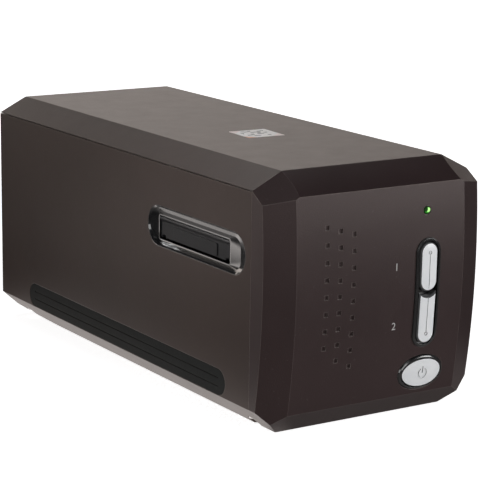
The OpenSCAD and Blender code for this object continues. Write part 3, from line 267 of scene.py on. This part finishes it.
# Status light: a clear green acrylic pipe, lit from a diode on the button board.
# The diode sits off its axis, so one side of its end glows and the rest stays deep green.
def lit_pipe(name):
    # The rim of its end is painted near-black, a painted shade for the shaded hole round the pipe.
    material, shader, start, place = new_material(name)
    low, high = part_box("light_pipe")
    middle = (low + high) / 2
    radius = (high.x - low.x) / 2

    def from_point(right, above):
        """Distance from a point of the pipe's end, in pipe radii."""
        shift = (-middle.x - right * radius, 0.0, -middle.z - above * radius)
        moved = start.node("ShaderNodeVectorMath", {"operation": "ADD"}, {0: place, 1: shift})
        flat = start.node("ShaderNodeVectorMath", {"operation": "MULTIPLY"},
                          {0: moved, 1: (1.0, 0.0, 1.0)})
        return start.node("ShaderNodeVectorMath", {"operation": "LENGTH"},
                          {0: flat}, out="Value") / radius

    cloud = (grain(start, place, 0.5 * MM) - 0.5) * 0.2
    core = 1.0 - (from_point(0.35, 0.1) + cloud).ease(0.35, 0.75)
    dark = 1.0 - (from_point(-0.35, 0.25) + cloud).ease(0.45, 0.7)
    hot = core * (1.0 - dark)
    # Fades to near-black at the rim: painted shade of the hole round the pipe.
    rim_shade_fade = 1.0 - (from_point(0.0, 0.0) + cloud).ease(0.62, 0.85)
    green = rim_shade_fade * (1.0 - dark * 0.9)
    deep = green.tint((0.0, 0.01, 0.0), (0.02, 0.28, 0.01))
    connect(shader, base_color=hot.tint((0.004, 0.020, 0.004), (0.35, 0.80, 0.20)),
            roughness=0.12 + (1.0 - core) * 0.1,
            emission_color=hot.tint(deep, (0.50, 1.0, 0.33)), emission_strength=0.9)
    return material


dress(lit_pipe("status_green"), "light_pipe")


# Grip strips and feet.
# Moulded rubber: matt, slightly blue-black, with a fine dull grain, pale dust and edges painted
# near-black, a painted shade for the gap round each piece.
def rubber(name):
    material, shader, start, place = new_material(name)
    rounded, near_edge = soft_edge(start, 0.5 * MM)
    fine = grain(start, place, 0.25 * MM, 3.0, 0.7)
    cloud = grain(start, place, 14 * MM, 4.0)
    dust = grain(start, place, 2.5 * MM, 5.0, 0.7).ease(0.5, 0.8) * 0.05
    clean = (cloud * 0.6 + dust).tint((0.007, 0.008, 0.008), (0.013, 0.016, 0.016))
    dusty = dust.tint(clean, (0.16, 0.17, 0.165))
    # Edges go near-black: painted shade for the gap round each strip and foot.
    connect(shader, base_color=(near_edge * 0.9).tint(dusty, (0.002, 0.002, 0.002)),
            specular_ior_level=0.15,
            roughness=0.62 + (cloud - 0.5) * 0.12 + (fine - 0.5) * 0.1,
            normal=bump(start, fine, 0.03 * MM, rounded))
    return material


dress(rubber("grip_rubber"), "left_grip_strip", "right_grip_strip", "front_left_foot",
      "front_right_foot", "rear_left_foot", "rear_right_foot")


# Film gate, carriage, adapter socket, chip packages, gears, plungers and lamp box.
# Matt black ABS and glass-filled nylon, and white acetal, all left as moulded.
dress(moulded("inner_black", (0.016, 0.016, 0.017), (0.05, 0.05, 0.05), roughness=0.55,
              lump=0.5 * MM, depth=0.03 * MM, sheen=0.4),
      "film_bed", "front_film_rail", "rear_film_rail", "upper_film_guide", "carriage_body",
      "carriage_cover", "lens_barrel", "power_jack")
dress(moulded("chip_black", (0.020, 0.020, 0.022), (0.06, 0.06, 0.06), roughness=0.48,
              lump=0.12 * MM, depth=0.008 * MM, edge=0.15 * MM), "tact_switches", "image_sensor")
dress(moulded("white_acetal", (0.74, 0.73, 0.69), (0.80, 0.79, 0.76), roughness=0.38,
              lump=0.6 * MM, depth=0.006 * MM, edge=0.2 * MM),
      "detent_lever", "screw_gear", "idler_gear", "upper_plunger", "lower_plunger",
      "power_plunger", "backlight_housing", "light_diffuser")


# Rods, screws, springs and chassis.
# Ground steel with fine turning lines along the bars, and zinc-plated sheet with drawn lines.
def metal(name, colour, roughness, lines, stretch, spots):
    material, shader, start, place = new_material(name)
    rounded, near_edge = soft_edge(start, 0.2 * MM)
    drawn = start.node("ShaderNodeMapping", None, {"Vector": place, "Scale": stretch})
    streak = grain(start, drawn, lines, 3.0, 0.6)
    cloud = grain(start, place, 12 * MM, 4.0)
    stain = grain(start, place, 3 * MM, 5.0, 0.7).ease(0.55, 0.8)
    body = (cloud * 0.5 + streak * 0.5).ease(0.3, 0.7).tint(
        tuple(0.88 * c for c in colour), tuple(min(1.0, 1.08 * c) for c in colour))
    connect(shader, base_color=(stain * spots).tint(body, tuple(0.45 * c for c in colour)),
            metallic=1.0 - stain * 0.25 * spots,
            roughness=roughness + (streak - 0.5) * 0.18 + (cloud - 0.5) * 0.10 - near_edge * 0.05,
            normal=bump(start, streak, 0.006 * MM, rounded))
    return material


dress(metal("bright_steel", (0.62, 0.62, 0.63), 0.22, 0.25 * MM, (1.0, 12.0, 1.0), 0.15),
      "case_screws", "left_door_pin", "right_door_pin", "left_door_spring", "right_door_spring",
      "bed_standoffs", "left_guide_rod", "right_guide_rod", "lead_screw")
dress(metal("chassis_steel", (0.55, 0.56, 0.57), 0.34, 0.5 * MM, (1.0, 0.05, 1.0), 0.25),
      "chassis", "drive_motor", "data_port")
dress(metal("brass_parts", (0.72, 0.50, 0.20), 0.28, 0.3 * MM, (1.0, 8.0, 1.0), 0.35),
      "rod_bushings", "screw_nut", "motor_pinion")


# Circuit boards: glass-epoxy under green solder mask.
# Copper tracks and planes lie just under the mask and show as paler lines.
def board(name):
    material, shader, start, place = new_material(name)
    rounded, near_edge = soft_edge(start, 0.15 * MM)
    cells = start.node("ShaderNodeTexVoronoi",
                       {"distance": "MANHATTAN", "feature": "DISTANCE_TO_EDGE"},
                       {"Vector": place, "Scale": 1.0 / (4.5 * MM)})
    weave = grain(start, place, 0.4 * MM, 2.0)
    track = 1.0 - cells.ease(0.05, 0.09)
    body = track.tint((0.012, 0.085, 0.040), (0.030, 0.170, 0.075))
    connect(shader, base_color=(near_edge * 0.5).tint(body, (0.30, 0.27, 0.14)), coat_roughness=0.1,
            roughness=0.36 + (weave - 0.5) * 0.15 - track * 0.05, coat_weight=0.3 * track + 0.1,
            normal=bump(start, track * 0.8 + weave * 0.2, 0.03 * MM, rounded))
    return material


dress(board("board_green"), "button_board", "sensor_board", "led_board", "main_board")


# Mirror and lens glasses: front-silvered glass, and coated glass ground to shallow curves.
def polished(name, colour, **finish):
    material, shader, start, place = new_material(name)
    haze = grain(start, place, 6 * MM, 4.0)
    dust = grain(start, place, 0.7 * MM, 1.0).ease(0.70, 0.74)
    connect(shader, base_color=(dust * 0.2).tint(colour, (0.5, 0.5, 0.5)),
            roughness=0.02 + (haze - 0.4).ease(0.0, 0.4) * 0.05 + dust * 0.2,
            normal=bump(start, haze, 0.001 * MM), **finish)
    return material


dress(polished("mirror_glass", (0.90, 0.92, 0.93), metallic=1.0), "scan_mirror")
dress(polished("lens_glass", (0.80, 0.88, 0.90), transmission_weight=0.9, ior=1.52), "lens_glass")


# Numbers beside the two scan buttons.
# Pad-printed in pale grey ink on the finished bezel, a few hundredths of a millimetre thick.
INK = 0.03 * MM
NUMBER_HEIGHT = 5 * MM
NUMBER_LEFT = 12 * MM       # from the button's left edge
UPPER_NUMBER_UP = 13 * MM   # from the button's lower end
LOWER_NUMBER_UP = 10 * MM
RAY_RUN = 100 * MM          # how far in front of the panel the ray starts


def ink(name, colour):
    material, shader, start, place = new_material(name)
    speckle = grain(start, place, 0.12 * MM, 2.0)
    wear = grain(start, place, 1.5 * MM, 4.0, 0.7)
    connect(shader, base_color=(speckle * 0.5 + wear * 0.5).ease(0.3, 0.7).tint(
        tuple(0.85 * c for c in colour), colour),
        roughness=0.5 + (wear - 0.5) * 0.15, normal=bump(start, speckle, 0.004 * MM))
    return material


def print_number(name, text, across, above):
    """A number on the front panel, as a mesh that lies on the panel where a ray meets it."""
    bezel = nodes["front_bezel"]
    low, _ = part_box("front_bezel")
    inward = Vector((0, 1, 0))
    _, spot, normal, _ = bezel.ray_cast(Vector((across, low.y - RAY_RUN, above)), inward)
    bpy.ops.object.select_all(action="DESELECT")
    bpy.ops.object.text_add(location=(0, 0, 0))
    number = bpy.context.object
    number.name = name
    number.data.body = text
    number.data.size = NUMBER_HEIGHT
    number.data.align_x = "CENTER"
    number.data.align_y = "CENTER"
    number.data.extrude = INK
    bpy.ops.object.convert(target="MESH")
    number = bpy.context.object
    turn = normal.to_track_quat("Z", "Y").to_matrix().to_4x4()
    number.data.transform(Matrix.Translation(spot) @ turn)
    number.data.materials.append(PALE_INK)
    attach(number, "scanner_case")


PALE_INK = ink("pale_ink", (0.55, 0.54, 0.53))
upper_low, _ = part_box("upper_scan_button")
lower_low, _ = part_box("lower_scan_button")
print_number("upper_number", "1", upper_low.x - NUMBER_LEFT, upper_low.z + UPPER_NUMBER_UP)
print_number("lower_number", "2", lower_low.x - NUMBER_LEFT, lower_low.z + LOWER_NUMBER_UP)


# Sticker on the top cover.
# White coated paper with plain printed blocks, stuck on by hand and so a little askew.
STICKER_W = 20.6 * MM
STICKER_L = 20.4 * MM
STICKER_T = 0.04 * MM
STICKER_ROUND = 0.8 * MM
STICKER_PROUD = 0.004 * MM
STICKER_TURN = math.radians(-3)
STICKER_X = 0.4 * MM
STICKER_Y = -27.4 * MM
BLOCK_ROWS = 9.0
BLOCKS_ACROSS = 11.0
ABOVE_ZERO = 20.0   # added before a fraction or a floor is taken, to keep it positive


def part_of(start, vector, axis):
    return start.node("ShaderNodeSeparateXYZ", None, {0: vector}, out=axis)


def printed_paper(name):
    """White paper with rows of dark blocks, a red corner and a pale pink edge."""
    material, shader, start, place = new_material(name)
    local = start.node("ShaderNodeMapping", {"vector_type": "TEXTURE"},
                       {"Vector": place, "Location": (STICKER_X, STICKER_Y, 0.0),
                        "Rotation": (0.0, 0.0, STICKER_TURN)})
    across = part_of(start, local, "X") / STICKER_W
    along = part_of(start, local, "Y") / STICKER_L
    fibre = grain(start, place, 0.3 * MM, 3.0)
    rows = along * BLOCK_ROWS + ABOVE_ZERO
    row = start.math("FLOOR", rows)
    height = start.math("FRACT", rows)
    cell = start.math("FLOOR", across * BLOCKS_ACROSS + ABOVE_ZERO + row * 0.37)
    pair = start.node("ShaderNodeCombineXYZ", None, {0: cell, 1: row, 2: 0.0})
    lot = start.node("ShaderNodeTexWhiteNoise", None, {"Vector": pair}, out="Value")
    inside = ((1.0 - start.math("ABSOLUTE", across).ease(0.34, 0.345))
              * (1.0 - start.math("ABSOLUTE", along - 0.04).ease(0.36, 0.365)))
    block = (lot.ease(0.60, 0.61) * height.ease(0.25, 0.30) * (1.0 - height.ease(0.80, 0.85))
             * inside)
    corner = (1.0 - (across + along).ease(-0.78, -0.76)) * 0.8
    edge = start.math("ABSOLUTE", across - along).ease(0.62, 0.70) * 0.5
    paper = edge.tint((0.90, 0.90, 0.90), (0.85, 0.62, 0.60))
    marked = block.tint(corner.tint(paper, (0.75, 0.22, 0.07)), (0.02, 0.03, 0.06))
    connect(shader, base_color=marked, roughness=0.42 + (fibre - 0.5) * 0.1,
            normal=bump(start, fibre, 0.004 * MM))
    return material


bpy.ops.object.select_all(action="DESELECT")
bpy.ops.mesh.primitive_plane_add(size=1.0, location=(0, 0, 0))
sticker = bpy.context.object
sticker.name = "top_sticker"
sticker.data.transform(Matrix.Diagonal((STICKER_W, STICKER_L, 1.0, 1.0)))
bpy.ops.object.mode_set(mode="EDIT")
bpy.ops.mesh.select_all(action="SELECT")
bpy.ops.mesh.bevel(offset=STICKER_ROUND, segments=4, affect="VERTICES")
bpy.ops.mesh.select_all(action="SELECT")
bpy.ops.mesh.extrude_region_move(TRANSFORM_OT_translate={"value": (0, 0, STICKER_T)})
bpy.ops.mesh.select_all(action="SELECT")
bpy.ops.mesh.normals_make_consistent(inside=False)
bpy.ops.object.mode_set(mode="OBJECT")
_, cover_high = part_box("top_cover")
sunk = cover_high.z - STICKER_T + STICKER_PROUD
sticker.data.transform(Matrix.Translation((STICKER_X, STICKER_Y, sunk))
                       @ Matrix.Rotation(STICKER_TURN, 4, "Z"))
sticker.data.materials.append(printed_paper("sticker_paper"))
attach(sticker, "scanner_case")


# Floor, lamps and camera.
# A white table before a low white wall, with soft lamps above, behind and on both sides.
# Plastics see a painted reflection of the table: dimmer than the camera sees it in most places,
# with bright strips and a patch set where the scanner's faces mirror it.
TABLE_SIDE = 12.0
WALL_HEIGHT = 0.8
WALL_BACK = 1.6
TABLE_SHINE = (1.0, 0.94, 0.91)
WALL_SHINE = (1.0, 0.90, 0.83)
WALL_MIRRORED = 1.38
WHITE = (1.0, 1.0, 1.0)


def plane(name, size, place, turn):
    mesh = bpy.data.meshes.new(name)
    half = Vector(size) / 2
    corners = [(-half.x, -half.y, 0), (half.x, -half.y, 0),
               (half.x, half.y, 0), (-half.x, half.y, 0)]
    mesh.from_pydata(corners, [], [(0, 1, 2, 3)])
    obj = bpy.data.objects.new(name, mesh)
    obj.location = place
    obj.rotation_euler = turn
    bpy.context.scene.collection.objects.link(obj)
    return obj


def paper_white(name, shown, colour, mirrored):
    """Plain white paper: white to the camera, with its shadow, and dimmer where plastics mirror it.

    shown is its glow to the camera, colour the tint of its painted reflection, and mirrored gives
    the painted reflection's brightness from the place on the sheet.
    """
    material, shader, start, place = new_material(name)
    camera_ray = start.node("ShaderNodeLightPath", out="Is Camera Ray")
    shiny = start.node("ShaderNodeLightPath", out="Is Glossy Ray")
    fibre = grain(start, place, 2 * MM, 3.0).tint((0.79, 0.79, 0.79), (0.80, 0.80, 0.80))
    # Glossy rays see dark paper, so plastics mirror only the painted glow.
    connect(shader, base_color=shiny.tint(fibre, (0.04, 0.04, 0.04)), roughness=0.9,
            specular_ior_level=0.0)
    glow = start.node("ShaderNodeEmission", None,
                      {"Color": camera_ray.tint(colour, WHITE),
                       "Strength": camera_ray * shown + shiny * mirrored(start, place)})
    total = start.node("ShaderNodeAddShader", None, {1: glow})
    tree = material.node_tree
    tree.links.new(shader.outputs["BSDF"], total.socket.node.inputs[0])
    tree.links.new(total.socket, tree.nodes["Material Output"].inputs["Surface"])
    return material


def painted_table_reflection(start, place):
    """Bright along the scanner's left edge and in a patch behind it, and grey elsewhere."""
    # A painted reflection: bright strips and a patch set where the slot dish, the sides and the low
    # faces mirror the table.
    east = part_of(start, place, "X")
    north = part_of(start, place, "Y")
    across = start.math("MAXIMUM", start.math("ABSOLUTE", east) - cad_high.x, 0.0)
    deep = start.math("MAXIMUM", start.math("ABSOLUTE", north) - cad_high.y, 0.0)
    away = (across * across + deep * deep) ** 0.5
    left = (1.0 - east.ease(-46 * MM, -34 * MM)) * north.ease(-126 * MM, -108 * MM)
    edge = (1.0 - away.ease(10 * MM, 32 * MM)) * left
    near = (away.ease(0.5 * MM, 5 * MM) * 0.2 + 0.8) * (1.0 - away.ease(20 * MM, 120 * MM))
    front = (1.0 - north.ease(-200 * MM, -150 * MM)) * north.ease(-420 * MM, -300 * MM)
    aside = (east + 260 * MM) / (75 * MM)
    behind = (north - 240 * MM) / (110 * MM)
    patch = 1.0 - ((aside * aside + behind * behind) ** 0.5).ease(0.5, 1.2)
    far = away.ease(50 * MM, 220 * MM)
    return edge * 1.1 + near * 0.27 + front * 0.10 + patch * 2.0 + far * 0.055


def wall_glow(start, place):
    return WALL_MIRRORED


floor = plane("floor", (TABLE_SIDE, TABLE_SIDE), (0, 0, 0), (0, 0, 0))
floor.data.materials.append(paper_white("white_table", 0.9, TABLE_SHINE, painted_table_reflection))
wall = plane("wall", (TABLE_SIDE, WALL_HEIGHT), (0, WALL_BACK, WALL_HEIGHT / 2),
             (math.radians(90), 0, 0))
wall.data.materials.append(paper_white("white_wall", 1.3, WALL_SHINE, wall_glow))


# Each lamp: where it hangs, where it points, its width and height, its watts and its spread.
LAMPS = {
    "top_lamp": ((0.3, 0.7, 1.5), (0, 0, 0.05), (1.0, 0.6), 3.0, 180),
    "above_lamp": ((0.5, 1.1, 1.4), (0, 0, 0.12), (0.6, 0.6), 4.2, 180),
    "high_lamp": ((-0.5, -0.9, 1.6), (0, 0, 0.05), (1.0, 1.0), 1.9, 180),
    "left_lamp": ((-1.7, -0.9, 0.35), (0, 0, 0.05), (0.8, 0.6), 4.8, 180),
    "back_left_lamp": ((-1.5, 0.9, 0.4), (0, 0, 0.05), (0.8, 0.6), 0.8, 180),
    "front_lamp": ((-0.1, -1.9, 0.35), (0, -0.1, 0.05), (1.0, 0.6), 6.8, 180),
    "front_right_lamp": ((1.2, -1.4, 0.4), (0, 0, 0.05), (0.8, 0.6), 11.5, 180),
    "side_spot": ((-0.45, 0.30, 0.35), (-0.06, -0.12, 0.10), (0.15, 0.15), 0.05, 28),
}
for name, (place, target, size, watts, spread) in LAMPS.items():
    light = bpy.data.lights.new(name, "AREA")
    light.shape = "RECTANGLE"
    light.size, light.size_y = size
    light.energy = watts
    light.spread = math.radians(spread)
    lamp = bpy.data.objects.new(name, light)
    lamp.location = place
    aim = Vector(target) - Vector(place)
    lamp.rotation_euler = aim.to_track_quat("-Z", "Y").to_euler()
    bpy.context.scene.collection.objects.link(lamp)

# The air shows white to the camera and lights the scanner very little.
SKY_DIM = 0.03
world = bpy.data.worlds.new("studio")
world.use_nodes = True
bpy.context.scene.world = world
seen = Sum(world.node_tree).node("ShaderNodeLightPath", out="Is Camera Ray")
sky = world.node_tree.nodes["Background"]
sky.inputs["Color"].default_value = rgb(WHITE)
world.node_tree.links.new((seen * (1.0 - SKY_DIM) + SKY_DIM).socket, sky.inputs["Strength"])

EYE = (-0.50926, -0.80666, 0.27509)
YAW = 0.5767
PITCH = 0.2247
ROLL = 0.0157
FOCAL_PIXELS = 1920.9
FRAME_PIXELS = 500
SENSOR = 36.0
look = Vector((math.sin(YAW) * math.cos(PITCH), math.cos(YAW) * math.cos(PITCH), -math.sin(PITCH)))
level = look.cross(Vector((0, 0, 1))).normalized()
upright = level.cross(look)
right = math.cos(ROLL) * level + math.sin(ROLL) * upright
up = math.cos(ROLL) * upright - math.sin(ROLL) * level
camera = bpy.data.objects.new("camera", bpy.data.cameras.new("camera"))
camera.data.sensor_width = SENSOR
camera.data.lens = FOCAL_PIXELS / FRAME_PIXELS * SENSOR
camera.matrix_world = (Matrix.Translation(EYE)
                       @ Matrix((right, up, -look)).transposed().to_4x4())
bpy.context.scene.collection.objects.link(camera)
bpy.context.scene.camera = camera
bpy.context.scene.view_settings.view_transform = "Standard"
